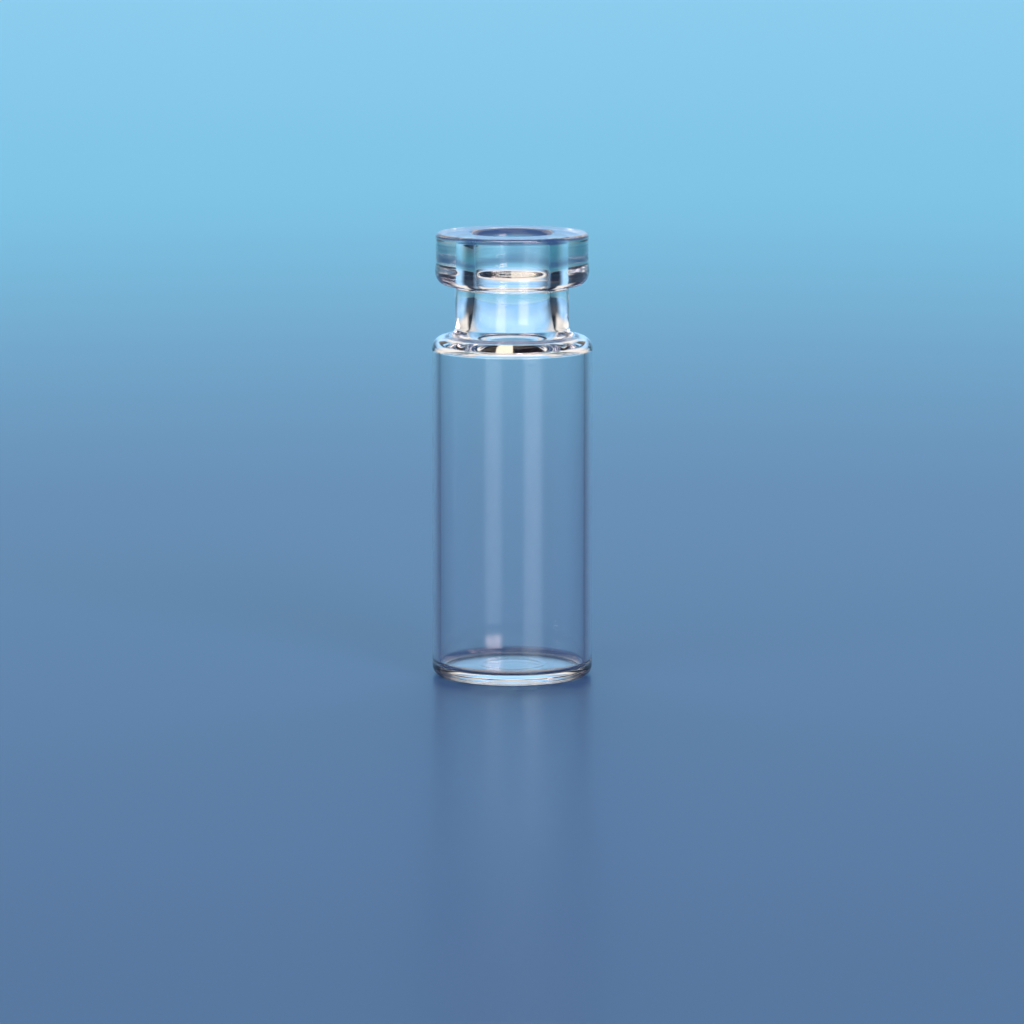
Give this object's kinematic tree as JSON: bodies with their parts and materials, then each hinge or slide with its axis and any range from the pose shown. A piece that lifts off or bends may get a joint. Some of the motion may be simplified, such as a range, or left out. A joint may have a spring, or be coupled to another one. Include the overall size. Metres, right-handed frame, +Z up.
{
  "type": "glass sample vial",
  "caption": "Small clear glass vial: straight thin-walled body, rounded shoulder, short neck and a thick crimp lip round an open bore.",
  "frame": {"origin": "centre of the standing ring, in the plane of the surface that the vial stands on", "axes": "+Z up along the axis of the vial, out of its mouth; the form is the same all round the axis"},
  "size_m": [0.0116, 0.0116, 0.0322],
  "materials": {
    "clear_glass": "clear colourless borosilicate glass, fire-polished, with faint forming marks on the lip"
  },
  "bodies": {
    "root": {"vial": "clear_glass"}
  },
  "joints": []
}
